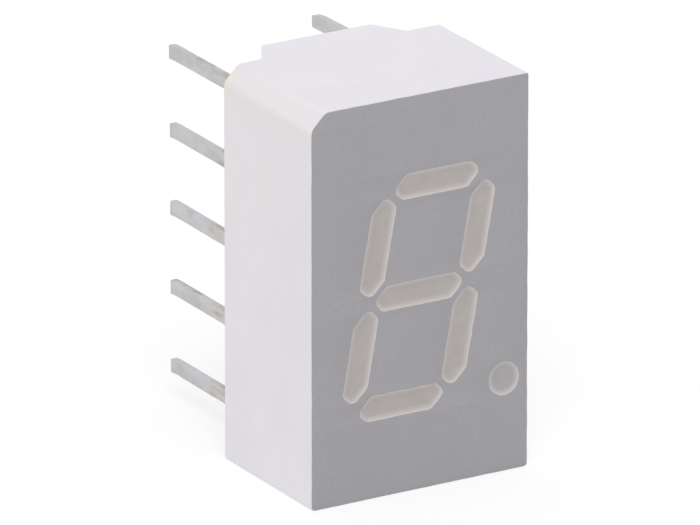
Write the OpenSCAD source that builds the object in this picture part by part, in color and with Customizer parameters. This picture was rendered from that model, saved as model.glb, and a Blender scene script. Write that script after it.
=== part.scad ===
// Single-digit seven segment LED display with two rows of flat leads.
// It stands on its lower end, as the digit is read. The origin is the centre of the underside,
// +X points to the viewer's right, +Y from the face to the leads and +Z up.
// A flat point is [x, z], counted from the middle of the face. A depth is counted from the face.

/* [Body] */
// Width of the housing
body_w = 7.5; // [7.4:0.1:10]
// Height of the housing
body_h = 12.5; // [12.2:0.1:16]
// Depth from the face to the rear edge of the side walls
body_d = 5.15; // [4.7:0.05:8]
// Thickness of the two side walls behind the reflector
side_wall = 0.6; // [0.4:0.05:0.8]
// Thickness of the upper and lower walls, and of the tabs
end_wall = 0.7; // [0.4:0.05:0.75]
// Leg of the clipped corner that marks the first lead
corner_clip = 0.5; // [0.2:0.05:0.7]

/* [Tabs] */
// How far each tab stands out behind the side walls
tab_out = 1.07; // [0.5:0.01:2]
// Width of a tab where it leaves the wall
tab_base = 5.03; // [4.2:0.01:6]
// Width of a tab at its seat on the board
tab_tip = 3.8; // [3:0.05:4.2]
// Corner radius of a tab
tab_r = 0.12; // [0.05:0.01:0.3]
// Sideways place of both tabs
tab_x = 0.08; // [-0.3:0.01:0.3]

/* [Face] */
// Thickness of the printed film
print_t = 0.04; // [0.02:0.01:0.08]
// Bare rim between the film and the mouth of each well
rim = 0.03; // [0.02:0.01:0.06]

/* [Digit] */
// Height of the digit over its two outer segments
digit_h = 7.62; // [6.8:0.01:9.2]
// Width of the digit across its upright segments
digit_w = 4.29; // [3.9:0.01:4.6]
// Width of a level segment
seg_w = 0.81; // [0.7:0.01:1]
// Width of an upright segment, measured level
upright_w = 0.86; // [0.75:0.01:1]
// Lean of the digit to the right, in degrees
slant = 10.2; // [0:0.1:12]
// Distance from a segment's tip to the digit's corner, where the segments' middle lines meet
seg_inset = 0.18; // [0.16:0.01:0.24]
// The same distance at both ends of the middle segment
middle_inset = 0.13; // [0.12:0.01:0.24]
// How far a level segment's right tip lies above its middle, and its left tip below
tip_lift = 0.08; // [0:0.01:0.12]
// Corner radius of a segment
seg_r = 0.24; // [0.1:0.01:0.28]
// Place of the digit's middle, to the right of the face's middle
digit_x = -0.04; // [-0.2:0.01:0.2]
// Place of the digit's middle, above the face's middle
digit_z = 0.03; // [-0.2:0.01:0.2]
// Diameter of the decimal point
point_d = 1.07; // [1:0.01:1.2]
// Place of the decimal point, to the right of the digit's middle
point_x = 2.97; // [2.9:0.01:3.02]
// Place of the decimal point, below the digit's middle
point_drop = 3.32; // [3.27:0.01:3.35]

/* [Wells] */
// Depth from the face to the lead frame, on which the wells end
frame_d = 3.2; // [2.6:0.05:3.4]
// Size of a well's floor, as a share of its mouth
floor_scale = 0.6; // [0.58:0.01:0.7]
// Radius of the floor of the decimal point's well
point_floor_r = 0.39; // [0.38:0.01:0.42]
// How far the castings in the wells lie below the bare rim
fill_recess = 0.05; // [0.02:0.01:0.15]
// Thickness of the face between the wells, over the two cores
face_wall = 1; // [0.6:0.05:1.6]
// Thickness of the wall between a core and the mouths of the wells
core_wall = 0.45; // [0.35:0.05:0.6]

/* [Leads] */
// Distance between neighbouring leads
pitch = 2.54; // [2.5:0.01:2.6]
// Distance between the two rows
row_gap = 5.08; // [5:0.01:5.2]
// Width of a lead
lead_w = 0.46; // [0.4:0.01:0.55]
// Thickness of the sheet that the leads are stamped from
lead_t = 0.18; // [0.15:0.01:0.3]
// Length of a lead past the tabs' seat
lead_out = 4.05; // [2.5:0.05:6]
// Inner radius of the bend in a lead
bend_r = 0.2; // [0.15:0.01:0.25]
// Width of the fingers inside the body
finger_w = 0.3; // [0.26:0.01:0.32]
// Gap between the two fingers under the decimal point
finger_gap = 0.1; // [0.08:0.01:0.12]
// How far the bar that joins the columns runs below the middle segment's die
bar_drop = 0.55; // [0.52:0.01:0.6]
// Width of the landing under a die
pad_w = 0.4; // [0.36:0.01:0.42]
// Distance from the rear edge of the side walls to the back casting
cast_recess = 0.5; // [0.1:0.05:0.8]

/* [Dice and wires] */
// Width of a die
die_w = 0.28; // [0.2:0.01:0.3]
// Height of a die
die_h = 0.18; // [0.12:0.01:0.25]
// Distance from the middle of a segment's well to its die, and to its wire's landing
reach = 0.42; // [0.38:0.01:0.46]
// The same distance in the decimal point's well
point_reach = 0.18; // [0.17:0.01:0.19]
// Diameter of a bond wire
wire_d = 0.03; // [0.025:0.005:0.04]
// Radius of the two bends in a wire, which is also its height over the die
loop_r = 0.15; // [0.1:0.01:0.18]
// Diameter of the bond at each end of a wire
bond_d = 0.09; // [0.07:0.01:0.1]
// Height of a bond
bond_h = 0.03; // [0.02:0.005:0.04]

/* [Hidden] */

$fn = 48;
// A cut runs this far past the face it opens
cut = 1;

face_y = -body_d / 2;
mid_z = body_h / 2;
inner_w = body_w - 2 * side_wall;
inner_h = body_h - 2 * end_wall;

// Middle lines of the digit's columns and rows, from its own middle
col_x = (digit_w - upright_w) / 2;
row_z = (digit_h - seg_w) / 2;
digit_mid = [digit_x, digit_z];
lean = tan(slant);

// Heights of the upright segments' tips on the right side; turned half round, they fit the left side
upper_tips = [middle_inset + tip_lift, row_z - seg_inset];
lower_tips = [seg_inset - row_z, tip_lift - middle_inset];

// Outer face of a row of leads, the middle of its bends, and the depth of its tips
lead_outer = row_gap / 2 + lead_t / 2;
bend_x = lead_outer - bend_r - lead_t;
lead_tip = body_d + tab_out + lead_out;
// Degrees between the points of a bend
bend_step = 7.5;
// Leads are numbered as seen from the face: 1 to 5 down the left side, 6 to 10 up the right
function lead_side(n) = n <= 5 ? -1 : 1;
function lead_z(n) = (n <= 5 ? 3 - n : n - 8) * pitch;
// Keeps a finger clear of the bends
function inside_bends(x) = max(min(x, bend_x - finger_w / 2), finger_w / 2 - bend_x);

function unit(v) = v / norm(v);
// The point at height z on a column or on the digit's middle line
function leaning(x, z) = digit_mid + [x + z * lean, z];
function middle(tips) = (tips[0] + tips[1]) / 2;

// Each well: its letter, its middle, and the way from its die to its wire's landing
LEVEL = [1, 0];
UPRIGHT = unit([lean, 1]);
WELLS = [
    ["a", leaning(0, row_z), LEVEL],
    ["b", leaning(col_x, middle(upper_tips)), UPRIGHT],
    ["c", leaning(col_x, middle(lower_tips)), -UPRIGHT],
    ["d", leaning(0, -row_z), -LEVEL],
    ["e", leaning(-col_x, -middle(upper_tips)), -UPRIGHT],
    ["f", leaning(-col_x, -middle(lower_tips)), UPRIGHT],
    ["g", leaning(0, 0), -LEVEL],
    ["point", digit_mid + [point_x, -point_drop], [0, -1]]
];
function well(name) = WELLS[search([name], WELLS)[0]];
function well_mid(name) = well(name)[1];
function well_way(name) = well(name)[2];
function well_reach(name) = name == "point" ? point_reach : reach;
function die_at(name) = well_mid(name) - well_way(name) * well_reach(name);
function landing_at(name) = well_mid(name) + well_way(name) * well_reach(name);

// Outline of a level segment about its middle, with its tips this far short of the columns' middle
// lines, drawn in by a margin
function level_outline(tip_inset, margin) =
    let (
        half = seg_w / 2 - margin,
        tip = col_x - tip_inset - margin * sqrt(2)
    )
    [
        [-tip, -tip_lift],
        [-tip + half + tip_lift, half],
        [tip - half + tip_lift, half],
        [tip, tip_lift],
        [tip - half - tip_lift, -half],
        [-tip + half - tip_lift, -half]
    ];

// Outline of an upright segment about its middle, drawn in by a margin
function upright_outline(tips, margin) =
    let (
        half = upright_w / 2 - margin / cos(slant),
        tip = (tips[1] - tips[0]) / 2 - margin * sqrt(2),
        far = half / (1 - lean),
        near = half / (1 + lean)
    )
    [
        [tip * lean, tip],
        [(tip - near) * lean + half, tip - near],
        [(far - tip) * lean + half, far - tip],
        [-tip * lean, -tip],
        [(near - tip) * lean - half, near - tip],
        [(tip - far) * lean - half, tip - far]
    ];

function segment_outline(name, margin) =
    name == "a" || name == "d" ? level_outline(seg_inset, margin)
    : name == "g" ? level_outline(middle_inset, margin)
    : name == "b" || name == "e" ? upright_outline(upper_tips, margin)
    : upright_outline(lower_tips, margin);

// Rounds each corner of an outline with an arc
function rounded(points, r, steps = 4) =
    let (last = len(points) - 1)
    [
        for (i = [0 : last])
            let (
                corner = points[i],
                back = unit(points[i == 0 ? last : i - 1] - corner),
                ahead = unit(points[i == last ? 0 : i + 1] - corner),
                half = acos(back * ahead) / 2,
                centre = corner + unit(back + ahead) * r / sin(half),
                from = unit(corner + back * r / tan(half) - centre),
                to = unit(corner + ahead * r / tan(half) - centre),
                turn = 180 - 2 * half
            )
            for (k = [0 : steps])
                centre + r * (from * sin(turn * (1 - k / steps)) + to * sin(turn * k / steps)) / sin(turn)
    ];

// Places a flat shape that is extruded rearward from a depth
module at_depth(depth) {
    translate([0, face_y + depth, mid_z])
        mirror([0, 1, 0])
            rotate([90, 0, 0])
                children();
}

module body_outline() {
    polygon([
        [-body_w / 2, -body_h / 2],
        [body_w / 2, -body_h / 2],
        [body_w / 2, body_h / 2],
        [corner_clip - body_w / 2, body_h / 2],
        [-body_w / 2, body_h / 2 - corner_clip]
    ]);
}

// Opening in the print over a well
module opening_outline(name) {
    translate(well_mid(name))
        if (name == "point")
            circle(d = point_d);
        else
            polygon(rounded(segment_outline(name, 0), seg_r));
}

// Space of a well, from the bare rim to the lead frame
module well_space(name) {
    at_depth(print_t)
        translate(well_mid(name))
            if (name == "point")
                cylinder(h = frame_d - print_t, r1 = point_d / 2 - rim, r2 = point_floor_r);
            else
                linear_extrude(height = frame_d - print_t, scale = floor_scale)
                    polygon(rounded(segment_outline(name, rim), seg_r - rim));
}

// Core inside one loop of the digit, which keeps the walls even: side is 1 above, -1 below
module core_space(side) {
    half_w = col_x - upright_w / 2 - core_wall;
    half_h = (row_z - seg_w) / 2 - core_wall;
    at_depth(face_wall)
        translate(leaning(0, side * row_z / 2))
            linear_extrude(height = frame_d - face_wall)
                polygon([
                    [-half_w - half_h * lean, -half_h],
                    [half_w - half_h * lean, -half_h],
                    [half_w + half_h * lean, half_h],
                    [-half_w + half_h * lean, half_h]
                ]);
}

// Standoff tab on the upper wall or the lower one: side is 1 above, -1 below
module tab(side) {
    root = 2 * tab_r;
    outline = [
        [-tab_base / 2, -root],
        [-tab_base / 2, 0],
        [-tab_tip / 2, tab_out],
        [tab_tip / 2, tab_out],
        [tab_base / 2, 0],
        [tab_base / 2, -root]
    ];
    translate([tab_x, body_d / 2, side > 0 ? body_h - end_wall : 0])
        linear_extrude(height = end_wall)
            polygon(rounded(outline, tab_r));
}

module housing() {
    color("#e4e3e6")
    difference() {
        union() {
            at_depth(print_t)
                linear_extrude(height = body_d - print_t)
                    body_outline();
            tab(1);
            tab(-1);
        }
        // The cavity behind the reflector ends level with the insides of the tabs
        at_depth(frame_d)
            linear_extrude(height = body_d - frame_d + cut)
                square([inner_w, inner_h], center = true);
        for (row = WELLS)
            well_space(row[0]);
        core_space(1);
        core_space(-1);
    }
}

module face_print() {
    color("#9f9fa2")
    at_depth(0)
        linear_extrude(height = print_t)
            difference() {
                body_outline();
                for (row = WELLS)
                    opening_outline(row[0]);
            }
}

// Casting in one well, around its die and wire
module filling(name) {
    color("#aca8a1")
    difference() {
        well_space(name);
        at_depth(print_t - cut)
            linear_extrude(height = fill_recess + cut)
                translate(well_mid(name))
                    square(digit_h, center = true);
        die(name);
        bond_wire(name);
    }
}

module die(name) {
    color("#b58a52")
    at_depth(frame_d - die_h)
        translate(die_at(name))
            linear_extrude(height = die_h)
                square(die_w, center = true);
}

// Quarter bend of a wire, from straight up at the origin to level along +X
module wire_bend() {
    translate([loop_r, 0, 0])
        rotate([90, 0, 0])
            rotate_extrude(angle = 90, start = 90)
                translate([loop_r, 0])
                    circle(d = wire_d);
}

// Wire in a frame of its own: it rises from the die at the origin and lands at [span, 0, -die_h]
module wire_profile(span) {
    cylinder(h = bond_h, d = bond_d);
    wire_bend();
    translate([loop_r, 0, loop_r])
        rotate([0, 90, 0])
            cylinder(h = span - 2 * loop_r, d = wire_d);
    translate([span, 0, 0])
        mirror([1, 0, 0])
            wire_bend();
    translate([span, 0, -die_h])
        cylinder(h = die_h, d = wire_d);
    translate([span, 0, -die_h])
        cylinder(h = bond_h, d = bond_d);
}

module bond_wire(name) {
    way = well_way(name);
    start = die_at(name);
    color("#d9b34a")
    translate([start.x, face_y + frame_d - die_h, mid_z + start.y])
        rotate([90, -atan2(way.y, way.x), 0])
            wire_profile(2 * well_reach(name));
}

// Flat shape of the lead frame, which lies on the reflector
module frame_sheet() {
    at_depth(frame_d)
        linear_extrude(height = lead_t)
            children();
}

// Finger of the frame between two points that share a height or a side
module finger(from, to, w = finger_w) {
    low = [min(from.x, to.x) - w / 2, min(from.y, to.y) - w / 2];
    high = [max(from.x, to.x) + w / 2, max(from.y, to.y) + w / 2];
    translate(low)
        square(high - low);
}

// Landing of the frame under a die
module pad(name) {
    translate(die_at(name))
        square(pad_w, center = true);
}

// Section of a lead on the right side, as [x, depth]: it lies on the reflector from x outward, turns
// through the bend and runs straight to its tip
function lead_section(x) =
    let (
        centre = [bend_x, frame_d + lead_t + bend_r],
        inner = bend_r,
        outer = bend_r + lead_t,
        turn = [for (a = [-90 : bend_step : 0]) [cos(a), sin(a)]],
        steps = len(turn)
    )
    concat(
        [[x, frame_d]],
        [for (k = [0 : steps - 1]) centre + outer * turn[k]],
        [[lead_outer, lead_tip], [lead_outer - lead_t, lead_tip]],
        [for (k = [0 : steps - 1]) centre + inner * turn[steps - 1 - k]],
        [[x, frame_d + lead_t]]
    );

// Full-width part of a lead: from x on the reflector, through the bend, to the tip
module bent_strip(n, x) {
    side = lead_side(n);
    translate([0, face_y, mid_z + lead_z(n) - lead_w / 2])
        mirror([side < 0 ? 1 : 0, 0, 0])
            linear_extrude(height = lead_w)
                polygon(lead_section(side * x));
}

// Lead that turns off its row and ends under the wire of one segment
module single_lead(n, name) {
    end = landing_at(name);
    x = inside_bends(end.x);
    color("#c3c3c6") {
        bent_strip(n, x - lead_side(n) * finger_w / 2);
        frame_sheet()
            finger([x, lead_z(n)], [x, end.y]);
    }
}

// Lead of the decimal point, which passes inside the row and reaches out between two blades
module point_lead(n) {
    end = landing_at("point");
    x = bend_x - finger_w;
    tip_w = 2 * (2 * point_reach - finger_w / 2 - finger_gap);
    color("#c3c3c6") {
        bent_strip(n, x - finger_w / 2);
        frame_sheet() {
            finger([x, lead_z(n)], [x, end.y]);
            finger([x, end.y], end, tip_w);
        }
    }
}

// The frame that carries all the dice, with the two middle leads
module common_lead() {
    bar_z = die_at("g").y - bar_drop;
    trunk_x = die_at("g").x;
    stem_x = die_at("d").x;
    color("#c3c3c6") {
        frame_sheet() {
            for (row = WELLS)
                if (row[0] != "point")
                    pad(row[0]);
            // Left side: up to f, down to e
            finger([die_at("f").x, 0], die_at("f"));
            finger([die_at("e").x, 0], die_at("e"));
            // Bar under the middle segment
            finger([die_at("e").x, bar_z], [die_at("c").x, bar_z]);
            // Right side: down to c
            finger([die_at("c").x, 0], die_at("c"));
            // Trunk past g up to a, with a branch to b
            finger([trunk_x, bar_z], [trunk_x, die_at("a").y]);
            finger(die_at("a"), [trunk_x, die_at("a").y], pad_w);
            finger([trunk_x, die_at("b").y], die_at("b"));
            // Stem down to d, with a branch to the decimal point
            finger([stem_x, bar_z], die_at("d"));
            finger([stem_x, die_at("point").y], die_at("point"));
        }
        bent_strip(3, die_at("f").x + finger_w / 2);
        bent_strip(8, die_at("c").x - finger_w / 2);
    }
}

// Epoxy that fills the rear of the housing around the lead frame
module back_casting() {
    color("#dcdad4")
    difference() {
        union() {
            at_depth(frame_d)
                linear_extrude(height = body_d - cast_recess - frame_d)
                    square([inner_w, inner_h], center = true);
            core_space(1);
            core_space(-1);
        }
        lead_frame();
    }
}

module lead_frame() {
    single_lead(1, "g");
    single_lead(2, "f");
    common_lead();
    single_lead(4, "e");
    single_lead(5, "d");
    point_lead(6);
    single_lead(7, "c");
    single_lead(9, "b");
    single_lead(10, "a");
}

housing();
face_print();
filling("a");  // segment_a
filling("b");  // segment_b
filling("c");  // segment_c
filling("d");  // segment_d
filling("e");  // segment_e
filling("f");  // segment_f
filling("g");  // segment_g
filling("point");  // decimal_point
die("a");  // die_a
die("b");  // die_b
die("c");  // die_c
die("d");  // die_d
die("e");  // die_e
die("f");  // die_f
die("g");  // die_g
die("point");  // die_point
bond_wire("a");  // wire_a
bond_wire("b");  // wire_b
bond_wire("c");  // wire_c
bond_wire("d");  // wire_d
bond_wire("e");  // wire_e
bond_wire("f");  // wire_f
bond_wire("g");  // wire_g
bond_wire("point");  // wire_point
single_lead(1, "g");  // lead_1
single_lead(2, "f");  // lead_2
common_lead();
single_lead(4, "e");  // lead_4
single_lead(5, "d");  // lead_5
point_lead(6);  // lead_6
single_lead(7, "c");  // lead_7
single_lead(9, "b");  // lead_9
single_lead(10, "a");  // lead_10
back_casting();
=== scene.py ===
import math

import bmesh
import bpy
from mathutils import Matrix, Vector, noise
from mathutils.geometry import tessellate_polygon


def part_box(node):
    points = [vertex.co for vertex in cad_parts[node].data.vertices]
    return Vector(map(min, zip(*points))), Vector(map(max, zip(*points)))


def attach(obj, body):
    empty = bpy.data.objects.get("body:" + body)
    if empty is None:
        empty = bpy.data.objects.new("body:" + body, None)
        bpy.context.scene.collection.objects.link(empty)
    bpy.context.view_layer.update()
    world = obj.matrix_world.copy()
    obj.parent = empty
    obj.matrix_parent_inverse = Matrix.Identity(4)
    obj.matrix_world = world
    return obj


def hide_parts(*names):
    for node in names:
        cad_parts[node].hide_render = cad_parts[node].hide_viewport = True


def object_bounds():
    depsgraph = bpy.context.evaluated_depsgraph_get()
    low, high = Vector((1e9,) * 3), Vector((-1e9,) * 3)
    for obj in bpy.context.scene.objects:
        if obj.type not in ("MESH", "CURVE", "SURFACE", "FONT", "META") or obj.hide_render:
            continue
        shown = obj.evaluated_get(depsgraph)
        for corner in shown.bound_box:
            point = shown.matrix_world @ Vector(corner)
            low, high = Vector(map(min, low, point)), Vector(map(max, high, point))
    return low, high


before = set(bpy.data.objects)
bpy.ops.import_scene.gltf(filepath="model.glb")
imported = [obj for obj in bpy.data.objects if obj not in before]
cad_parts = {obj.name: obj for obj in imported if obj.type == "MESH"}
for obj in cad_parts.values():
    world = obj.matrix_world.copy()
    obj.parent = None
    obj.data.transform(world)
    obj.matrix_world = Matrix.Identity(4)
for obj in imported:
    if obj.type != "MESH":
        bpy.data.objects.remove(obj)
cad_low, cad_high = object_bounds()

# A single-digit seven segment LED display: a white moulded housing with a grey printed face, eight
# wells with their castings, an epoxy back and two rows of stamped leads.
# Shapes are built in millimetres, in the frame's own axes, and scaled to metres once finished.
MM = 0.001


def box_mm(node):
    """Lowest and highest corner of a CAD node, in millimetres."""
    low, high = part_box(node)
    return low / MM, high / MM


# Places that the frame gives. The rear edge of the side walls lies as far behind the origin as the
# face lies before it, and the back casting fills the two cores up to their front
body_low, body_high = box_mm("housing")
film_low, film_high = box_mm("face_print")
cast_low, cast_high = box_mm("back_casting")
common_high = box_mm("common_lead")[1]
FACE_Y = film_low.y
FILM_BACK = film_high.y
REAR_Y = -FACE_Y
TAB_Y = body_high.y
MID_Z = (body_low.z + body_high.z) / 2
INNER_X = cast_high.x
INNER_LOW, INNER_HIGH = cast_low.z, cast_high.z
CAST_Y = cast_high.y
CORE_FRONT = cast_low.y
LEAD_OUTER = common_high.x
LEAD_TIP = common_high.y

# Sizes of the housing, as in the CAD model
CORNER_CLIP = 0.5
TAB_BASE = 5.03
TAB_TIP = 3.8
TAB_X = 0.08
FRAME_D = 3.2
FRAME_Y = FACE_Y + FRAME_D
CORE_WALL = 0.45

# Sizes of the digit, as in the CAD model
DIGIT_W = 4.29
DIGIT_H = 7.62
SEG_W = 0.81
UPRIGHT_W = 0.86
# From a segment's tip to the digit's corner, and the same at both ends of the middle segment
SEG_INSET = 0.18
MIDDLE_INSET = 0.13
# How far a level segment's right tip lies above its middle, and its left tip below
TIP_LIFT = 0.08
SEG_R = 0.24
SLANT = 10.2
LEAN = math.tan(math.radians(SLANT))
POINT_R = 1.07 / 2
POINT_FLOOR_R = 0.39
# The bare rim between the print and a well, and a well's floor as a share of its mouth
RIM = 0.03
FLOOR_SCALE = 0.6
# Middle lines of the digit's columns and rows, and heights of the upright segments' tips on the right
COL_X = (DIGIT_W - UPRIGHT_W) / 2
ROW_Z = (DIGIT_H - SEG_W) / 2
UPPER_TIPS = (MIDDLE_INSET + TIP_LIFT, ROW_Z - SEG_INSET)
LOWER_TIPS = (SEG_INSET - ROW_Z, TIP_LIFT - MIDDLE_INSET)
WELLS = {letter: "segment_" + letter for letter in "abcdefg"} | {"point": "decimal_point"}

# Sizes of the leads, as in the CAD model: BEND_R is the inner radius of the bend inside the back
PITCH = 2.54
LEAD_W = 0.46
LEAD_T = 0.18
BEND_R = 0.2
BEND_END = FRAME_Y + LEAD_T + BEND_R
LEAD_X = LEAD_OUTER - LEAD_T / 2

# Radii of the housing's corners: at its foot, at its upper right and on both sides of the clip.
# The film's are smaller by the clip, where it comes nearest to the housing's edge
LOWER_R = 0.1
UPPER_R = 0.04
CLIP_R = 0.35
FILM_CLIP_R = 0.24
BODY_RADII = [LOWER_R, LOWER_R, UPPER_R, CLIP_R, CLIP_R]
FILM_RADII = [LOWER_R, LOWER_R, UPPER_R, FILM_CLIP_R, FILM_CLIP_R]
TAB_FILLET = 0.15
TAB_R = 0.08
CORE_R = 0.15
# Radius of a corner that is as good as sharp, and the least one of an outline that is drawn in
SHARP_R = 0.001
LEAST_R = 0.01

# How far each edge is eased
REAR_EDGE = 0.03
FRONT_EDGE = 0.015
FILM_EDGE = 0.01
MOUTH_EDGE = 0.01
LEAD_EDGE = 0.028
TIP_R = 0.045
# An eased edge in three rings: how far each one stands off the wall, and lies behind the surface, as
# shares of the amount above
EASED = ((1, 0), (0.3, 0.3), (0, 1))
# How far the film ends inside the housing's outline
FILM_SETBACK = 0.012
# The print's edges wander by these amounts, most at the lowest segment, and over these lengths
OUTLINE_WANDER = 0.012
OPENING_WANDER = 0.013
LOWEST_WANDER = 0.02
OUTLINE_WAVE = 0.5
OPENING_WAVE = 0.12

# The decimal point's well would cut into the cavity's side wall, so it ends blind, this far short
BLIND_WALL = 0.1
# The castings' skin: the depth of its edge, its dip in the middle, and how fast it gets there
SKIN_EDGE = 0.012
DIP = 0.1
DIP_REACH = 0.14
# Its rings from the edge of the print inwards, of which it stays clear by SKIN_GAP. The print's wander
# is lost by SKIN_CALM
SKIN_GAP = 0.002
SKIN_RINGS = (SKIN_GAP, 0.012, 0.024, 0.038, 0.054, 0.072, 0.094, 0.12, 0.15, 0.19, 0.24, 0.3)
SKIN_CALM = 0.1

# Fineness of the meshes: steps in an arc and round the point, and lengths of a stretch
ARC_STEPS = 6
ARC_POINTS = ARC_STEPS + 1
POINT_STEPS = 72
EDGE_STEP = 0.09
FILM_STEP = 0.2
CAST_STEP = 0.075
# A step so long that it leaves each side of a segment whole
WHOLE = DIGIT_H
# Degrees between two faces that make an edge look sharp, and on castings, which are rounder
CREASE = 30
ROUND_CREASE = 60
# Places nearer than this count as the same, and points nearer than this are merged
NEAR = 0.001
MERGE = 0.0001


# ---------------------------------------------------------------- outlines


def flat_middle(node):
    """Middle of a CAD node as seen from the front, as (x, z)."""
    low, high = box_mm(node)
    return Vector(((low.x + high.x) / 2, (low.z + high.z) / 2))


def level_corners(tip_inset):
    """Corners of a level segment about its middle."""
    half, tip = SEG_W / 2, COL_X - tip_inset
    upper = [(tip, TIP_LIFT), (tip - half + TIP_LIFT, half), (TIP_LIFT + half - tip, half)]
    return [Vector(p) for p in upper] + [-Vector(p) for p in upper]


def upright_corners(tips):
    """Corners of an upright segment about its middle, from the heights of its two tips."""
    half, tip = UPRIGHT_W / 2, (tips[1] - tips[0]) / 2
    far, near = half / (1 - LEAN), half / (1 + LEAN)
    upper = [
        (tip * LEAN, tip),
        ((tip - far) * LEAN - half, tip - far),
        ((near - tip) * LEAN - half, near - tip),
    ]
    return [Vector(p) for p in upper] + [-Vector(p) for p in upper]


def segment_corners(letter):
    """Corners of one segment about its middle."""
    if letter in "agd":
        return level_corners(MIDDLE_INSET if letter == "g" else SEG_INSET)
    return upright_corners(UPPER_TIPS if letter in "be" else LOWER_TIPS)


def inset(corners, margin):
    """A convex outline with every side moved inward."""
    moved = []
    count = len(corners)
    for i in range(count):
        back = (corners[i] - corners[i - 1]).normalized()
        ahead = (corners[(i + 1) % count] - corners[i]).normalized()
        inward = Vector((-back.y, back.x)) + Vector((-ahead.y, ahead.x))
        inward.normalize()
        sine = back.x * inward.y - back.y * inward.x
        moved.append(corners[i] + inward * margin / sine)
    return moved


def side_steps(corners, step):
    """How many stretches each side of an outline is cut into."""
    ends = corners[1:] + corners[:1]
    return [max(1, round((b - a).length / step)) for a, b in zip(corners, ends)]


def corner_arc(before, corner, after, radius):
    """Points of the arc that rounds one corner of an outline."""
    back, ahead = (before - corner).normalized(), (after - corner).normalized()
    half = back.angle(ahead) / 2
    bend = math.copysign(1, ahead.x * back.y - ahead.y * back.x)
    centre = corner + (back + ahead).normalized() * radius / math.sin(half)
    start = corner + back * radius / math.tan(half) - centre
    turn = bend * (math.pi - 2 * half)
    turns = [turn * k / ARC_STEPS for k in range(ARC_POINTS)]
    return [centre + Matrix.Rotation(t, 2) @ start for t in turns]


def rounded(corners, radii, steps=None):
    """A closed outline with an arc at each corner, and its sides cut into stretches.

    The radii are a list with one for each corner, or one number for all.
    """
    count = len(corners)
    steps = steps or [1] * count
    radii = radii if isinstance(radii, list) else [radii] * count
    nexts = corners[1:] + corners[:1]
    arcs = [corner_arc(corners[i - 1], corners[i], nexts[i], radii[i]) for i in range(count)]
    outline = []
    for i in range(count):
        start, end = arcs[i][-1], arcs[(i + 1) % count][0]
        outline += arcs[i]
        outline += [start.lerp(end, k / steps[i]) for k in range(1, steps[i])]
    return outline


def circle(radius):
    """A round outline about its middle."""
    turns = [2 * math.pi * k / POINT_STEPS for k in range(POINT_STEPS)]
    return [Vector((math.cos(t), math.sin(t))) * radius for t in turns]


def well_outline(letter, margin, step=EDGE_STEP):
    """Outline of a well about its own middle, drawn in from the opening in the print."""
    if letter == "point":
        return circle(POINT_R - margin)
    corners = segment_corners(letter)
    radius = max(SEG_R - margin, LEAST_R)
    return rounded(inset(corners, margin), radius, side_steps(corners, step))


def well_floor(letter, step=EDGE_STEP):
    """Outline of a well's floor about the same middle."""
    if letter == "point":
        return circle(POINT_FLOOR_R)
    return [p * FLOOR_SCALE for p in well_outline(letter, RIM, step)]


def well_end(letter):
    """Depth of a well's floor."""
    return FRAME_Y - (BLIND_WALL if letter == "point" else 0)


def placed(outline, middle):
    """An outline moved to its place."""
    return [p + middle for p in outline]


def ragged(outline, amount, wave, seed):
    """Moves the points of an outline a little, in and out, as a printed edge wanders."""
    count = len(outline)
    moved = []
    for i, point in enumerate(outline):
        along = (outline[(i + 1) % count] - outline[i - 1]).normalized()
        sway = noise.noise(Vector((point.x / wave, point.y / wave, seed)))
        moved.append(point + Vector((along.y, -along.x)) * sway * amount)
    return moved


def print_edge(letter, margin, sway=1.0):
    """Outline of an opening in the print: the well's own, but it wanders by a share of its amount."""
    wander = LOWEST_WANDER if letter == "d" else OPENING_WANDER
    seed = list(WELLS).index(letter) + 0.5
    return ragged(well_outline(letter, margin), wander * sway, OPENING_WAVE, seed)


def body_corners():
    """Corners of the housing as seen from the front, from its lower left corner round to the clip."""
    left, right = body_low.x, body_high.x
    low, high = body_low.z, body_high.z
    points = [
        (left, low),
        (right, low),
        (right, high),
        (left + CORNER_CLIP, high),
        (left, high - CORNER_CLIP),
    ]
    return [Vector(p) for p in points]


# ---------------------------------------------------------------- mesh helpers


def ring(bm, outline, y):
    """The points of an outline at one depth."""
    return [bm.verts.new((p.x, y, p.y)) for p in outline]


def bridge(bm, first, second):
    """Joins two rings of as many points."""
    count = len(first)
    for i in range(count):
        j = (i + 1) % count
        bm.faces.new((first[i], first[j], second[j], second[i]))


def cap(bm, loop):
    """Fills a flat convex loop from its middle."""
    middle = bm.verts.new(sum((v.co for v in loop), Vector()) / len(loop))
    for first, second in zip(loop, loop[1:] + loop[:1]):
        bm.faces.new((first, second, middle))


def cap_around(bm, outer, holes):
    """Fills a flat loop, apart from its holes."""
    loops = [outer, *holes]
    verts = [v for loop in loops for v in loop]
    for corners in tessellate_polygon([[v.co for v in loop] for loop in loops]):
        bm.faces.new([verts[i] for i in corners])


def stack(bm, rings, middle=Vector((0, 0))):
    """Bridges a list of (outline about the middle, depth), and gives the first and last ring."""
    made = [ring(bm, placed(outline, middle), y) for outline, y in rings]
    for first, second in zip(made, made[1:]):
        bridge(bm, first, second)
    return made[0], made[-1]


def sharp_edges(bm):
    """The edges at which two faces meet at more than CREASE."""
    limit = math.radians(CREASE)
    return [e for e in bm.edges if e.is_manifold and e.calc_face_angle() > limit]


def bevel(bm, edges, width, segments):
    """Rounds some edges."""
    bmesh.ops.bevel(
        bm,
        geom=edges,
        offset=width,
        offset_type="OFFSET",
        segments=segments,
        profile=0.5,
        affect="EDGES",
        clamp_overlap=True,
    )


def at_depth(part, y):
    """Whether an edge or a face lies flat at one depth."""
    return all(abs(v.co.y - y) < NEAR for v in part.verts)


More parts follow.
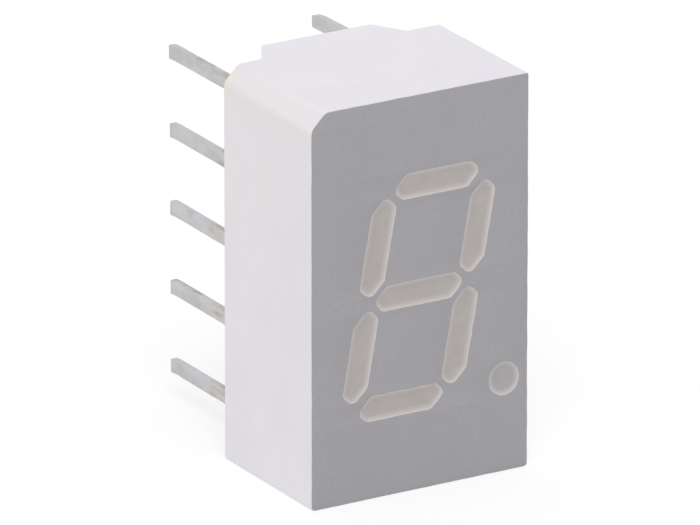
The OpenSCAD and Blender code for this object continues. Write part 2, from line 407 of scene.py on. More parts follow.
def open_face(bm, y, way):
    """Deletes the largest face at a depth that looks forward, -1, or rearward, 1, and gives its loop."""
    faces = [f for f in bm.faces if at_depth(f, y) and f.normal.y * way > 0]
    face = max(faces, key=lambda f: f.calc_area())
    loop = list(face.verts)
    bmesh.ops.delete(bm, geom=[face], context="FACES_ONLY")
    return loop


def piece(bm, name, material, node, crease=CREASE, weighted=True):
    """Turns a finished mesh into a piece that rides on the part and stands for a CAD node.

    Weighted normals keep the flat faces between eased edges flat. A casting's skin goes without them.
    """
    bmesh.ops.recalc_face_normals(bm, faces=bm.faces)
    bm.transform(Matrix.Scale(MM, 4))
    mesh = bpy.data.meshes.new(name)
    bm.to_mesh(mesh)
    bm.free()
    mesh.shade_smooth()
    mesh.set_sharp_from_angle(angle=math.radians(crease))
    mesh.materials.append(material)
    made = bpy.data.objects.new(name, mesh)
    bpy.context.scene.collection.objects.link(made)
    if weighted:
        normals = made.modifiers.new("normals", "WEIGHTED_NORMAL")
        normals.keep_sharp = True
        normals.weight = 100
    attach(made, "root")
    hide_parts(node)


# ---------------------------------------------------------------- material helpers


class Finish:
    """A node material with one Principled shader and short calls that add its textures."""

    def __init__(self, name, **sockets):
        self.material = bpy.data.materials.new(name)
        self.material.use_nodes = True
        self.tree = self.material.node_tree
        self.shader = self.tree.nodes["Principled BSDF"]
        for socket, value in sockets.items():
            self.shader.inputs[socket.replace("_", " ")].default_value = value
        self.coords = self.tree.nodes.new("ShaderNodeTexCoord")
        scale = self.tree.nodes.new("ShaderNodeMapping")
        scale.inputs["Scale"].default_value = (1 / MM,) * 3
        self.link(self.coords.outputs["Object"], scale.inputs["Vector"])
        self.place = scale.outputs["Vector"]

    def link(self, source, target):
        """Wires an output socket to an input socket."""
        self.tree.links.new(source, target)

    def node(self, kind, **inputs):
        """A new node, each of whose inputs is a number or another node's socket."""
        made = self.tree.nodes.new(kind)
        for socket, value in inputs.items():
            target = made.inputs[socket.replace("_", " ")]
            if isinstance(value, bpy.types.NodeSocket):
                self.link(value, target)
            else:
                target.default_value = value
        return made

    def stretched(self, *scale):
        """The place in millimetres, scaled along each axis."""
        return self.node("ShaderNodeMapping", Vector=self.place, Scale=scale).outputs["Vector"]

    def noise(self, per_mm, detail=3.0, roughness=0.5, place=None, distortion=0.0):
        """A cloudy texture with so many waves to the millimetre."""
        made = self.node(
            "ShaderNodeTexNoise",
            Vector=place or self.place,
            Scale=per_mm,
            Detail=detail,
            Roughness=roughness,
            Distortion=distortion,
        )
        return made.outputs["Fac"]

    def ramp(self, value, low, high, to_low=0.0, to_high=1.0, way="SMOOTHSTEP"):
        """Maps a value from low..high to to_low..to_high, clamped."""
        made = self.tree.nodes.new("ShaderNodeMapRange")
        made.interpolation_type = way
        numbers = (low, high, to_low, to_high)
        self.link(value, made.inputs["Value"])
        for socket, number in zip(("From Min", "From Max", "To Min", "To Max"), numbers):
            made.inputs[socket].default_value = number
        return made.outputs["Result"]

    def math(self, operation, first, second):
        """Works one value out from two sockets."""
        made = self.tree.nodes.new("ShaderNodeMath")
        made.operation = operation
        self.link(first, made.inputs[0])
        self.link(second, made.inputs[1])
        return made.outputs["Value"]

    def axis(self, letter):
        """The place along one axis, in millimetres."""
        return self.node("ShaderNodeSeparateXYZ", Vector=self.place).outputs[letter]

    def normal(self, letter):
        """How far the surface faces along an axis of the object, from -1 to 1."""
        facing = self.coords.outputs["Normal"]
        return self.node("ShaderNodeSeparateXYZ", Vector=facing).outputs[letter]

    def mix(self, amount, first, second):
        """Blends two colours, each a tuple or a socket."""
        made = self.tree.nodes.new("ShaderNodeMix")
        made.data_type = "RGBA"
        self.link(amount, made.inputs["Factor"])
        colours = [s for s in made.inputs if s.type == "RGBA"]
        for socket, value in zip(colours, (first, second)):
            if isinstance(value, bpy.types.NodeSocket):
                self.link(value, socket)
            else:
                socket.default_value = (*value, 1.0)
        return next(s for s in made.outputs if s.type == "RGBA")

    def colour(self, source):
        """Colours the surface from a socket."""
        self.link(source, self.shader.inputs["Base Color"])

    def rough(self, source):
        """Roughens the surface from a socket."""
        self.link(source, self.shader.inputs["Roughness"])

    def bump(self, height, depth_mm):
        """Dents the surface by a texture, so many millimetres deep."""
        made = self.node("ShaderNodeBump", Height=height, Strength=1.0, Distance=depth_mm * MM)
        self.link(made.outputs["Normal"], self.shader.inputs["Normal"])


def srgb(*levels):
    """A colour in linear light from its display values, each from 11 to 255."""
    return tuple(((level / 255 + 0.055) / 1.055) ** 2.4 for level in levels)


# ---------------------------------------------------------------- materials


# The colours, as a screen shows them
WHITE = srgb(234, 231, 238)
WHITE_CLOUD = srgb(231, 228, 235)
# Painted warm light: the left wall's tint for how the light falls there
WHITE_PAINTED_WARM_LIGHT = srgb(234, 231, 231)
# Painted cream highlight beside the clip, and stronger on the rear edges there
WHITE_PAINTED_HIGHLIGHT_CLIP = srgb(233, 229, 230)
WHITE_PAINTED_HIGHLIGHT_REAR = srgb(237, 230, 221)
GREY = srgb(161, 159, 163)
GREY_MOTTLE = srgb(158, 156, 160)
GREY_SPECK = srgb(157, 155, 159)
SEGMENT_MIDDLE = srgb(170, 164, 161)
SEGMENT_RIM = srgb(205, 200, 197)
POINT_MIDDLE = srgb(162, 159, 160)
POINT_RIM = srgb(204, 200, 199)
MILKY = srgb(222, 219, 211)
MILKY_CLOUD = srgb(212, 207, 196)
MILKY_SPECK = srgb(226, 224, 219)
TIN_DULL = srgb(190, 190, 194)
TIN_BRIGHT = srgb(204, 203, 206)
TIN_BEIGE = srgb(199, 200, 195)
TIN_SHEARED = srgb(197, 196, 203)
TIN_STAIN = srgb(166, 165, 166)
TIN_DOT = srgb(140, 139, 137)
ROOT_BROWN = srgb(172, 164, 155)
ROOT_PALE = srgb(206, 201, 195)
ROOT_SHEARED = srgb(158, 151, 145)
CRYSTAL = srgb(176, 120, 58)
CRYSTAL_SAWN = srgb(150, 98, 48)
GOLD_BRIGHT = srgb(236, 200, 112)
GOLD_DEEP = srgb(222, 178, 88)


def painted_warm_light_left(f):
    """How much painted warm light falls on the left wall: in patches, and most towards its top and its
    rear.
    """
    left = f.ramp(f.normal("X"), -0.9, -0.5, 1.0, 0.0)
    high = f.ramp(f.axis("Z"), 0.25 * body_high.z, 0.95 * body_high.z, 0.25, 1.0)
    patches = f.ramp(f.noise(0.5, detail=3, distortion=0.5), 0.35, 0.65, 0.5, 1.0)
    behind = f.ramp(f.axis("Y"), FACE_Y, 0.6 * REAR_Y, 0.3, 1.0)
    return f.math("MULTIPLY", f.math("MULTIPLY", left, high), f.math("MULTIPLY", patches, behind))


def beside_clip(f):
    """1 along the lower edge of the clipped corner, fading to 0 around it."""
    foot = body_high.z - CORNER_CLIP
    edge = f.node("ShaderNodeCombineXYZ", X=body_low.x, Y=0.0, Z=foot).outputs["Vector"]
    gap = f.tree.nodes.new("ShaderNodeVectorMath")
    gap.operation = "DISTANCE"
    f.link(f.stretched(1, 0, 1), gap.inputs[0])
    f.link(edge, gap.inputs[1])
    return f.ramp(gap.outputs["Value"], 0.3, 0.9, 1.0, 0.0)


def white_plastic():
    """Satin white moulded plastic with a fine spark-eroded grain, painted warm light on its left wall
    and a painted cream highlight beside the clip.
    """
    f = Finish("white_plastic", Roughness=0.42)
    clouds = f.ramp(f.noise(0.45, detail=2), 0.35, 0.65)
    base = f.mix(clouds, WHITE, WHITE_CLOUD)
    # Painted warm light on the left-facing wall
    base = f.mix(painted_warm_light_left(f), base, WHITE_PAINTED_WARM_LIGHT)
    # Where the painted cream highlight beside the clip reaches
    clip_highlight_reach = beside_clip(f)
    patches = f.ramp(f.noise(0.8, detail=2), 0.3, 0.7, 0.5, 1.0)
    # Painted cream highlight beside the clip, in patches
    base = f.mix(f.math("MULTIPLY", clip_highlight_reach, patches), base, WHITE_PAINTED_HIGHLIGHT_CLIP)
    # Painted cream highlight, strongest on the rear edges by the clip
    rear = f.ramp(f.axis("Y"), 0.75 * REAR_Y, REAR_Y, 0.0, 0.7)
    f.colour(f.mix(f.math("MULTIPLY", rear, clip_highlight_reach), base, WHITE_PAINTED_HIGHLIGHT_REAR))
    f.rough(f.ramp(f.noise(1.3), 0.3, 0.7, 0.38, 0.5))
    f.bump(f.noise(26, detail=2), 0.0016)
    return f.material


def grey_ink():
    """Screen-printed grey ink, even to the eye, with a faint mottle and a fine tooth."""
    f = Finish("grey_ink", Roughness=0.55)
    mottle = f.ramp(f.noise(0.7, detail=4), 0.3, 0.7)
    base = f.mix(mottle, GREY, GREY_MOTTLE)
    specks = f.ramp(f.noise(9, detail=3), 0.35, 0.65)
    f.colour(f.mix(specks, base, GREY_SPECK))
    f.rough(f.ramp(f.noise(2.2), 0.3, 0.7, 0.5, 0.6))
    f.bump(f.noise(18, detail=3, roughness=0.6), 0.0014)
    return f.material


def diffusing_epoxy(name, middle, rim):
    """Epoxy filled with a light-diffusing powder, beige grey, paler where it thins over the wall."""
    f = Finish(name, Roughness=0.38)
    skin = FACE_Y + SKIN_EDGE
    thin = f.ramp(f.axis("Y"), skin, skin + 0.8 * DIP, 1.0, 0.0, "LINEAR")
    clouds = f.ramp(f.noise(1.6, detail=3, distortion=0.3), 0.3, 0.7, 0.0, 0.12)
    grains = f.ramp(f.noise(24, detail=2), 0.4, 0.6, 0.0, 0.06)
    pale = f.math("MAXIMUM", thin, f.math("ADD", clouds, grains))
    f.colour(f.mix(pale, middle, rim))
    f.rough(f.ramp(f.noise(3), 0.3, 0.7, 0.33, 0.45))
    f.bump(f.noise(5, detail=3), 0.003)
    return f.material


def milky_epoxy():
    """The poured back: white epoxy with yellower clouds and pale specks."""
    f = Finish("milky_epoxy", Roughness=0.3)
    clouds = f.ramp(f.noise(0.6, detail=3, distortion=0.6), 0.3, 0.7)
    base = f.mix(clouds, MILKY, MILKY_CLOUD)
    f.colour(f.mix(f.ramp(f.noise(12, detail=2), 0.45, 0.7, 0.0, 0.4), base, MILKY_SPECK))
    f.bump(f.noise(2.4, detail=3), 0.012)
    return f.material


def tin_plate():
    """Dull tin on a stamped copper alloy strip: cloudy, stained, and streaked brown near the epoxy."""
    f = Finish("tin_plate", Metallic=0.85, Roughness=0.42)
    along = f.stretched(1.0, 0.45, 1.0)
    sheared = f.ramp(f.normal("Z"), 0.4, 0.9)
    clouds = f.ramp(f.noise(1.4, detail=3, place=along), 0.3, 0.7)
    base = f.mix(clouds, TIN_DULL, TIN_BRIGHT)
    beige = f.ramp(f.noise(1.9, detail=3, distortion=0.4), 0.5, 0.68, 0.0, 0.8)
    base = f.mix(beige, base, TIN_BEIGE)
    base = f.mix(f.ramp(sheared, 0.0, 1.0, 0.0, 0.7), base, TIN_SHEARED)

    stains = f.ramp(f.noise(1.1, detail=4, roughness=0.6, place=f.stretched(1, 0.8, 1)), 0.56, 0.7)
    stains = f.math("MULTIPLY", stains, f.ramp(sheared, 0.0, 1.0, 0.25, 0.8))
    base = f.mix(stains, base, TIN_STAIN)
    dots = f.ramp(f.noise(4.6, detail=2), 0.7, 0.78, 0.0, 0.6)
    base = f.mix(dots, base, TIN_DOT)

    fade = f.math("ADD", f.axis("Y"), f.ramp(f.noise(1.7, detail=3), 0.25, 0.75, -0.6, 0.6))
    root = f.ramp(fade, REAR_Y + 1.9, REAR_Y + 2.9, 0.75, 0.0)
    streaks = f.ramp(f.noise(6.0, detail=2, place=f.stretched(1, 0.12, 1)), 0.32, 0.6)
    brown = f.mix(streaks, ROOT_BROWN, ROOT_PALE)
    brown = f.mix(f.ramp(sheared, 0.0, 1.0, 0.0, 0.6), brown, ROOT_SHEARED)
    f.colour(f.mix(root, base, brown))
    f.rough(f.ramp(f.noise(4.5, detail=4, place=along), 0.3, 0.7, 0.36, 0.52))
    f.bump(f.noise(3.2, detail=4, place=along), 0.006)
    return f.material


def die_crystal():
    """The sawn crystal of a light-emitting die."""
    f = Finish("die_crystal", Roughness=0.25)
    saw = f.noise(30, detail=2, place=f.stretched(1, 0.1, 1))
    f.colour(f.mix(f.ramp(saw, 0.35, 0.65), CRYSTAL, CRYSTAL_SAWN))
    f.bump(saw, 0.001)
    return f.material


def gold_wire():
    """Drawn gold."""
    f = Finish("gold_wire", Metallic=1.0, Roughness=0.25)
    f.colour(f.mix(f.noise(20), GOLD_BRIGHT, GOLD_DEEP))
    f.bump(f.noise(60), 0.0005)
    return f.material


# ---------------------------------------------------------------- housing


# Length of the rear rim that leads up to a tab's base
TAB_SHOULDER = 0.3


def tab_path(z):
    """Outline of a tab at one height, from the rim at its right base round its tip to the left."""
    base, tip = TAB_BASE / 2, TAB_TIP / 2
    half = [(base + TAB_SHOULDER, REAR_Y), (base, REAR_Y), (tip, TAB_Y)]
    corners = [Vector((TAB_X, FACE_Y))] + [Vector((TAB_X + x, y)) for x, y in half]
    corners += [Vector((TAB_X - x, y)) for x, y in reversed(half)]
    radii = [SHARP_R, SHARP_R, TAB_FILLET, TAB_R, TAB_R, TAB_FILLET, SHARP_R]
    # The corners with a sharp radius only close the outline, and their arcs are left out
    path = rounded(corners, radii)[2 * ARC_POINTS:6 * ARC_POINTS]
    return [(p.x, p.y, z) for p in path]


def skin_faces(bm, front, rear, upper_tab, lower_tab):
    """The front and the sides. The lower side follows the outline's first arc, the upper its third."""
    tabs = {ARC_POINTS - 1: lower_tab, 3 * ARC_POINTS - 1: upper_tab[::-1]}
    count = len(front)
    for i in range(count):
        j = (i + 1) % count
        bm.faces.new((front[i], front[j], rear[j], *tabs.get(i, ()), rear[i]))
    bm.faces.new(front)


def cavity_faces(bm, mouth, upper_tab, lower_tab):
    """The cavity, whose upper and lower walls run on along the insides of the tabs."""
    floor = [bm.verts.new((v.co.x, FRAME_Y, v.co.z)) for v in mouth]
    bm.faces.new(floor)
    bm.faces.new((floor[1], floor[2], mouth[2], mouth[1]))
    bm.faces.new((floor[3], floor[0], mouth[0], mouth[3]))
    bm.faces.new((floor[2], floor[3], mouth[3], *upper_tab[::-1], mouth[2]))
    bm.faces.new((floor[0], floor[1], mouth[1], *lower_tab, mouth[0]))


def rim_faces(bm, rear, mouth, upper, lower):
    """The tabs' own rims, and the rear rim of the wall on each side of them.

    The outline's second and third arcs are its corners on the right.
    """
    for outer, inner in (upper, lower):
        for i in range(len(outer) - 1):
            bm.faces.new((outer[i], outer[i + 1], inner[i + 1], inner[i]))
    right = rear[ARC_POINTS:3 * ARC_POINTS][::-1]
    inside = [lower[1][0], mouth[1], mouth[2], upper[1][0]]
    bm.faces.new([upper[0][0], *right, lower[0][0], *inside])
    left = rear[3 * ARC_POINTS:] + rear[:ARC_POINTS]
    inside = [lower[1][-1], mouth[0], mouth[3], upper[1][-1]]
    bm.faces.new([upper[0][-1], *left, lower[0][-1], *inside])


def housing_shell(bm):
    """The closed shell without its wells: outer skin, rear rim, tabs and cavity, as flat faces."""
    outline = rounded(body_corners(), BODY_RADII)
    front, rear = ring(bm, outline, FILM_BACK), ring(bm, outline, REAR_Y)
    upper = [[bm.verts.new(p) for p in tab_path(z)] for z in (body_high.z, INNER_HIGH)]
    lower = [[bm.verts.new(p) for p in tab_path(z)] for z in (body_low.z, INNER_LOW)]
    corners = [
        (-INNER_X, INNER_LOW),
        (INNER_X, INNER_LOW),
        (INNER_X, INNER_HIGH),
        (-INNER_X, INNER_HIGH),
    ]
    mouth = ring(bm, [Vector(p) for p in corners], REAR_Y)
    skin_faces(bm, front, rear, upper[0], lower[0])
    cavity_faces(bm, mouth, upper[1], lower[1])
    rim_faces(bm, rear, mouth, upper, lower)


def core_outline(side):
    """The core inside one loop of the digit: side is 1 above and -1 below."""
    half_w = COL_X - UPRIGHT_W / 2 - CORE_WALL
    half_h = (ROW_Z - SEG_W) / 2 - CORE_WALL
    slope = half_h * LEAN
    corners = [
        (-half_w - slope, -half_h),
        (half_w - slope, -half_h),
        (half_w + slope, half_h),
        (slope - half_w, half_h),
    ]
    middle = flat_middle("segment_g") + Vector((side * ROW_Z / 2 * LEAN, side * ROW_Z / 2))
    return placed(rounded([Vector(p) for p in corners], CORE_R), middle)


def housing_well(bm, letter, node):
    """The walls of one well. Gives their rings at the face and at the floor."""
    rings = []
    for out, behind in EASED:
        outline = well_outline(letter, RIM - MOUTH_EDGE * out, WHOLE)
        rings.append((outline, FILM_BACK + MOUTH_EDGE * behind))
    rings.append((well_floor(letter, WHOLE), well_end(letter)))
    return stack(bm, rings, flat_middle(node))


def housing():
    """The moulded reflector block: its shell, its eight tapering wells and its two cores."""
    bm = bmesh.new()
    housing_shell(bm)
    bmesh.ops.recalc_face_normals(bm, faces=bm.faces)
    bevel(bm, [e for e in sharp_edges(bm) if not at_depth(e, FILM_BACK)], REAR_EDGE, segments=3)
    bevel(bm, [e for e in sharp_edges(bm) if at_depth(e, FILM_BACK)], FRONT_EDGE, segments=2)

    face_loop, floor_loop = open_face(bm, FILM_BACK, -1), open_face(bm, FRAME_Y, 1)
    face_holes, floor_holes = [], []
    for letter, node in WELLS.items():
        first, last = housing_well(bm, letter, node)
        face_holes.append(first)
        if letter == "point":
            cap(bm, last)
        else:
            floor_holes.append(last)
    for side in (1, -1):
        outline = core_outline(side)
        first, last = stack(bm, [(outline, CORE_FRONT), (outline, FRAME_Y)])
        cap(bm, first)
        floor_holes.append(last)
    cap_around(bm, face_loop, face_holes)
    cap_around(bm, floor_loop, floor_holes)
    piece(bm, "housing_shell", PLASTIC, "housing")


# ---------------------------------------------------------------- printed face


def film_outline(margin):
    """The film's own outline, a margin inside the housing's."""
    corners = body_corners()
    outline = rounded(inset(corners, margin), FILM_RADII, side_steps(corners, FILM_STEP))
    return ragged(outline, OUTLINE_WANDER, OUTLINE_WAVE, seed=3.0)


def printed_face():
    """The ink film with its openings, whose edges wander a little."""
    bm = bmesh.new()
    rings = []
    for out, behind in EASED:
        rings.append((film_outline(FILM_SETBACK + FILM_EDGE * out), FACE_Y + FILM_EDGE * behind))
    rings.append((film_outline(FILM_SETBACK), FILM_BACK))
    front_loop, back_loop = stack(bm, rings)
    front_holes, back_holes = [], []
    for letter, node in WELLS.items():
        rings = []
        for out, behind in EASED:
            rings.append((print_edge(letter, -FILM_EDGE * out), FACE_Y + FILM_EDGE * behind))
        rings.append((print_edge(letter, 0), FILM_BACK))
        first, last = stack(bm, rings, flat_middle(node))
        front_holes.append(first)
        back_holes.append(last)
    cap_around(bm, front_loop, front_holes)
    cap_around(bm, back_loop, back_holes)
    piece(bm, "printed_face", INK, "face_print")


# ---------------------------------------------------------------- castings


def casting(letter, node):
    """A well's casting: it wets the bare rim up to the ink and dips towards the middle."""
    bm = bmesh.new()
    rings = [
        (well_floor(letter), well_end(letter)),
        (well_outline(letter, RIM), FILM_BACK),
        (print_edge(letter, SKIN_GAP), FILM_BACK - SKIN_GAP),
    ]
    for margin in SKIN_RINGS:
        depth = SKIN_EDGE + DIP * (1 - math.exp(-margin / DIP_REACH))
        sway = max(1 - margin / SKIN_CALM, 0)
        rings.append((print_edge(letter, margin, sway), FACE_Y + depth))
    first, last = stack(bm, rings, flat_middle(node))
    cap(bm, first)
    cap(bm, last)
    epoxy = POINT_EPOXY if letter == "point" else SEGMENT_EPOXY
    piece(bm, node + "_casting", epoxy, node, ROUND_CREASE, weighted=False)


# The poured back climbs the walls and the leads, each by so much and over such a reach, and swells
WALL_CLIMB = 0.16
WALL_REACH = 0.16
LEAD_CLIMB = 0.13
LEAD_REACH = 0.12
SWELL = 0.02
SWELLS_PER_MM = 0.6


def pour_rise(x, z, spots):
    """How far the poured back stands above its level at one place."""
    to_wall = min(INNER_X - abs(x), z - INNER_LOW, INNER_HIGH - z)
    to_lead = min(
        math.hypot(max(abs(x - cx) - LEAD_T / 2, 0), max(abs(z - cz) - LEAD_W / 2, 0))
        for cx, cz in spots
    )
    climb = max(
        WALL_CLIMB * math.exp(-to_wall / WALL_REACH),
        LEAD_CLIMB * math.exp(-to_lead / LEAD_REACH),
    )
    return climb + SWELL * noise.noise(Vector((x * SWELLS_PER_MM, z * SWELLS_PER_MM, 4.0)))


def back_casting():
    """The poured back: level in the middle, drawn up at the walls and round every lead."""
    bm = bmesh.new()
    spots = lead_spots()
    across = round(2 * INNER_X / CAST_STEP)
    up = round((INNER_HIGH - INNER_LOW) / CAST_STEP)
    rows = []
    for j in range(up + 1):
        z = INNER_LOW + (INNER_HIGH - INNER_LOW) * j / up
        places = [-INNER_X + 2 * INNER_X * i / across for i in range(across + 1)]
        rows.append([bm.verts.new((x, CAST_Y + pour_rise(x, z, spots), z)) for x in places])
    for row, above in zip(rows, rows[1:]):
        for i in range(across):
            bm.faces.new((row[i], row[i + 1], above[i + 1], above[i]))
    right, left = [row[-1] for row in rows], [row[0] for row in rows]
    border = rows[0][:-1] + right[:-1] + rows[-1][:0:-1] + left[:0:-1]
    front = [bm.verts.new((v.co.x, FRAME_Y, v.co.z)) for v in border]
    bridge(bm, border, front)
    cap(bm, front)
    piece(bm, "epoxy_back", BACK_EPOXY, "back_casting", ROUND_CREASE, weighted=False)


# ---------------------------------------------------------------- leads

LEAD_NODES = [
    "lead_1",
    "lead_2",
    "common_lead",
    "lead_4",
    "lead_5",
    "lead_6",
    "lead_7",
    "lead_9",
    "lead_10",
]
# Places of a row's leads, in pitches from the middle
PLACES = range(-2, 3)
# The leads are bent a little. For each one in a row, from the lowest to the uppermost: how far it lies
# above its true line where it leaves the epoxy and at its tip, and how far its tip lies to the right
LEFT_BENDS = [
    (0.0, -0.02, 0.02),
    (-0.01, -0.01, 0.02),
    (-0.03, -0.01, 0.02),
    (-0.05, -0.06, 0.02),
    (-0.08, -0.09, 0.0),
]
RIGHT_BENDS = [
    (0.01, 0.03, -0.02),
    (0.0, -0.02, 0.02),
    (0.0, 0.01, -0.03),
    (0.02, -0.01, 0.01),
    (0.01, 0.035, -0.12),
]
# Their upper and lower edges also wave, more towards the tip, and ripple all along
WAVE = 0.012
WAVES_PER_MM = 0.6
RIPPLE = 0.006
RIPPLES_PER_MM = 2.5
RIPPLES_ACROSS = 3
# Shearing thins the right-hand side of each tip by TIP_SHEAR, over the last TIP_LENGTH
TIP_LENGTH = 0.35
TIP_SHEAR = 0.045
# The tip of one lead was sheared off aslant: how far back the cut starts, and how deep it is at the end
ASLANT = "lead_10"
ASLANT_LENGTH = 0.55
ASLANT_DROP = 0.085
# Where the cuts start that let a lead bend, just inside the epoxy, and how many there are
CUTS_START = CAST_Y - 0.3
SHAFT_CUTS = 20
TIP_CUTS = 10


def lead_bend(place):
    """The bend of the lead that a point lies on."""
    bends = LEFT_BENDS if place.x < 0 else RIGHT_BENDS
    return bends[PLACES.index(round((place.z - MID_Z) / PITCH))]


def lead_spots():
    """Middle of each lead where it leaves the epoxy, as (x, z)."""
    true = [Vector((side * LEAD_X, 0, MID_Z + n * PITCH)) for side in (-1, 1) for n in PLACES]
    return [(p.x, p.z + lead_bend(p)[0]) for p in true]


def lead_seed(place):
    """A number for the noise at a point of a lead, another one at its upper edge than at its lower."""
    return round(place.z / PITCH) * 3.7 + (11.3 if place.x > 0 else 0)


def cut_aslant(bm):
    """Lowers the upper edge of a lead towards its tip."""
    tip = [v for v in bm.verts if v.co.y > LEAD_TIP - ASLANT_LENGTH]
    low, high = min(v.co.z for v in tip), max(v.co.z for v in tip)
    for v in tip:
        near = 1 - (LEAD_TIP - v.co.y) / ASLANT_LENGTH
        v.co.z -= ASLANT_DROP * near * near * (v.co.z - low) / (high - low)


def bend_lead(bm):
    """Moves the straight part of a lead off its true line, and thins its tip where it was sheared."""
    for v in bm.verts:
        if v.co.y < BEND_END:
            continue
        root, tip, shift = lead_bend(v.co)
        seed = lead_seed(v.co)
        settle = min((v.co.y - BEND_END) / (CAST_Y - BEND_END), 1)
        out = max((v.co.y - CAST_Y) / (LEAD_TIP - CAST_Y), 0)
        near_tip = max(1 - (LEAD_TIP - v.co.y) / TIP_LENGTH, 0)
        if v.co.x > math.copysign(LEAD_X, v.co.x):
            v.co.x -= TIP_SHEAR * near_tip * near_tip
        v.co.x += out * out * shift
        v.co.z += settle * root + out * (tip - root)
        v.co.z += WAVE * out * noise.noise(Vector((v.co.y * WAVES_PER_MM, seed, 5.0)))
        ripples = Vector((v.co.y * RIPPLES_PER_MM, seed, v.co.z * RIPPLES_ACROSS))
        v.co.z += RIPPLE * noise.noise(ripples)


def at_tip(edge):
    """Whether an edge lies level across a lead's tip."""
    first, second = (v.co for v in edge.verts)
    return at_depth(edge, LEAD_TIP) and abs(first.z - second.z) < NEAR


def cut_across(bm, start, end, count):
    """Cuts a lead across at even steps from one depth up to another, which gets no cut."""
    for k in range(count):
        place = (0, start + (end - start) * k / count, 0)
        geom = bm.verts[:] + bm.edges[:] + bm.faces[:]
        bmesh.ops.bisect_plane(bm, geom=geom, plane_co=place, plane_no=(0, 1, 0))


def lead(node):
    """A stamped lead: the CAD solid with its sheared edges eased, its tip cut and its small bend."""
    bm = bmesh.new()
    bm.from_mesh(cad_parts[node].data)
    bm.transform(Matrix.Scale(1 / MM, 4))
    bmesh.ops.remove_doubles(bm, verts=bm.verts, dist=MERGE)
    bmesh.ops.dissolve_limit(bm, angle_limit=math.radians(1), verts=bm.verts, edges=bm.edges)
    bmesh.ops.recalc_face_normals(bm, faces=bm.faces)
    bevel(bm, [e for e in bm.edges if at_tip(e)], TIP_R, segments=4)
    straight = [e for e in sharp_edges(bm) if all(v.co.y > BEND_END - NEAR for v in e.verts)]
    bevel(bm, straight, LEAD_EDGE, segments=2)
    aslant_start = LEAD_TIP - ASLANT_LENGTH
    cut_across(bm, CUTS_START, aslant_start, SHAFT_CUTS)
    cut_across(bm, aslant_start, LEAD_TIP - TIP_R, TIP_CUTS)
    if node == ASLANT:
        cut_aslant(bm)
    bend_lead(bm)
    piece(bm, node + "_strip", TIN, node)


# ---------------------------------------------------------------- stage


# The floor's width in metres, its own tone, and how much of what shows is its glow instead
FLOOR_WIDTH = 6.0
FLOOR_TONE = 0.94
GLOW = 1.09
GLOW_SHARE = 0.6
# The soft light all round, and the one lamp: its place and width in metres and its watts
WORLD_LIGHT = 0.7
LAMP_PLACE = Vector((-0.237, -0.396, 0.653))
LAMP_WIDTH = 0.4
LAMP_POWER = 2.17
# The camera: its angles in degrees, its place off the middle of the face in millimetres to the
# right, upwards and back, and its long lens and sensor
AZIMUTH = -30.76
ELEVATION = 20.07
CAMERA_RIGHT = -2.096
CAMERA_UP = 0.892
CAMERA_BACK = 416.19
LENS = 719.7
SENSOR = 36


def shown(tree):
    """1 for a ray from the camera, off a shine or through glass, and 0 for one that only lights."""
    path = tree.nodes.new("ShaderNodeLightPath")
    value = path.outputs["Is Camera Ray"]
    for kind in ("Is Glossy Ray", "Is Transmission Ray"):
        either = tree.nodes.new("ShaderNodeMath")
        either.operation = "MAXIMUM"
        tree.links.new(value, either.inputs[0])
        tree.links.new(path.outputs[kind], either.inputs[1])
        value = either.outputs["Value"]
    return value


def floor_white():
    """A pale floor's material, which keeps a shadow and reads as white."""
    material = bpy.data.materials.new("floor")
    material.use_nodes = True
    tree = material.node_tree
    tree.nodes.clear()
    diffuse = tree.nodes.new("ShaderNodeBsdfDiffuse")
    diffuse.inputs["Color"].default_value = (FLOOR_TONE, FLOOR_TONE, FLOOR_TONE, 1)
    glow = tree.nodes.new("ShaderNodeEmission")
    glow.inputs["Strength"].default_value = GLOW
    share = tree.nodes.new("ShaderNodeMath")
    share.operation = "MULTIPLY"
    share.inputs[1].default_value = GLOW_SHARE
    mix = tree.nodes.new("ShaderNodeMixShader")
    output = tree.nodes.new("ShaderNodeOutputMaterial")
    tree.links.new(shown(tree), share.inputs[0])
    tree.links.new(share.outputs["Value"], mix.inputs["Fac"])
    tree.links.new(diffuse.outputs["BSDF"], mix.inputs[1])
    tree.links.new(glow.outputs["Emission"], mix.inputs[2])
    tree.links.new(mix.outputs["Shader"], output.inputs["Surface"])
    return material


def floor():
    """The plain floor that the display stands on."""
    mesh = bpy.data.meshes.new("floor")
    half = FLOOR_WIDTH / 2
    corners = [(-half, -half, 0), (half, -half, 0), (half, half, 0), (-half, half, 0)]
    mesh.from_pydata(corners, [], [(0, 1, 2, 3)])
    mesh.materials.append(floor_white())
    made = bpy.data.objects.new("floor", mesh)
    bpy.context.scene.collection.objects.link(made)


def key_light():
    """A square area lamp, in front of the object, to its left and well above, that looks at it."""
    lamp = bpy.data.lights.new("key", "AREA")
    lamp.size = LAMP_WIDTH
    lamp.energy = LAMP_POWER
    made = bpy.data.objects.new("key", lamp)
    made.location = LAMP_PLACE
    target = (cad_low + cad_high) / 2
    made.rotation_euler = (target - LAMP_PLACE).to_track_quat("-Z", "Y").to_euler()
    bpy.context.scene.collection.objects.link(made)


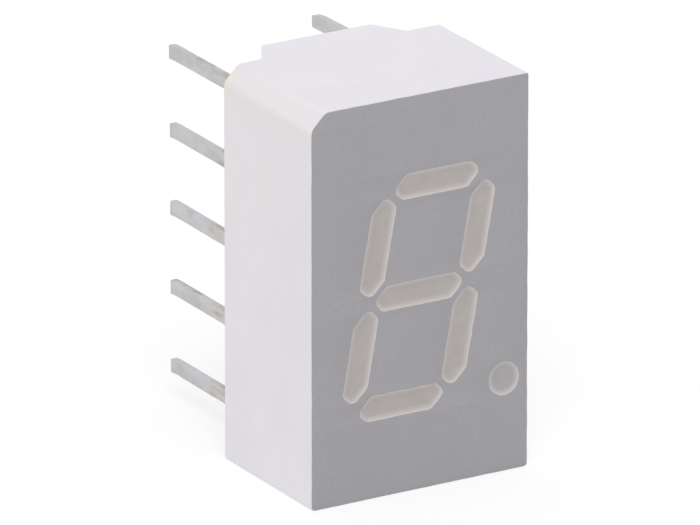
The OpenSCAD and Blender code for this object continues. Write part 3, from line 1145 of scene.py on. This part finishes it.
def studio():
    """Even white light from all round, which shows as white."""
    world = bpy.data.worlds.new("studio")
    world.use_nodes = True
    tree = world.node_tree
    background = tree.nodes["Background"]
    background.inputs["Color"].default_value = (1, 1, 1, 1)
    strength = tree.nodes.new("ShaderNodeMapRange")
    strength.inputs["To Min"].default_value = WORLD_LIGHT
    strength.inputs["To Max"].default_value = 1.0
    tree.links.new(shown(tree), strength.inputs["Value"])
    tree.links.new(strength.outputs["Result"], background.inputs["Strength"])
    bpy.context.scene.world = world


def camera():
    """A long lens that looks at the face from its left and from a little above."""
    azimuth, elevation = math.radians(AZIMUTH), math.radians(ELEVATION)
    level = Vector((math.sin(azimuth), -math.cos(azimuth), 0)) * math.cos(elevation)
    back = level + Vector((0, 0, math.sin(elevation)))
    right = Vector((math.cos(azimuth), math.sin(azimuth), 0))
    up = back.cross(right)
    place = Vector((0, FACE_Y, MID_Z)) + CAMERA_RIGHT * right + CAMERA_UP * up + CAMERA_BACK * back
    lens = bpy.data.cameras.new("camera")
    lens.lens = LENS
    lens.sensor_width = SENSOR
    made = bpy.data.objects.new("camera", lens)
    made.location = place * MM
    made.rotation_euler = (-back).to_track_quat("-Z", "Y").to_euler()
    bpy.context.scene.collection.objects.link(made)
    bpy.context.scene.camera = made


# ---------------------------------------------------------------- the display

bpy.context.scene.view_settings.view_transform = "Standard"
camera()
key_light()
studio()
floor()

PLASTIC = white_plastic()
INK = grey_ink()
SEGMENT_EPOXY = diffusing_epoxy("segment_epoxy", SEGMENT_MIDDLE, SEGMENT_RIM)
POINT_EPOXY = diffusing_epoxy("point_epoxy", POINT_MIDDLE, POINT_RIM)
BACK_EPOXY = milky_epoxy()
TIN = tin_plate()
DIE = die_crystal()
GOLD = gold_wire()

housing()
printed_face()
for well_letter, well_node in WELLS.items():
    casting(well_letter, well_node)
back_casting()
for lead_node in LEAD_NODES:
    lead(lead_node)
for cad_node, cad_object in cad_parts.items():
    if cad_node.startswith(("die_", "wire_")):
        cad_object.material_slots[0].material = DIE if cad_node.startswith("die_") else GOLD
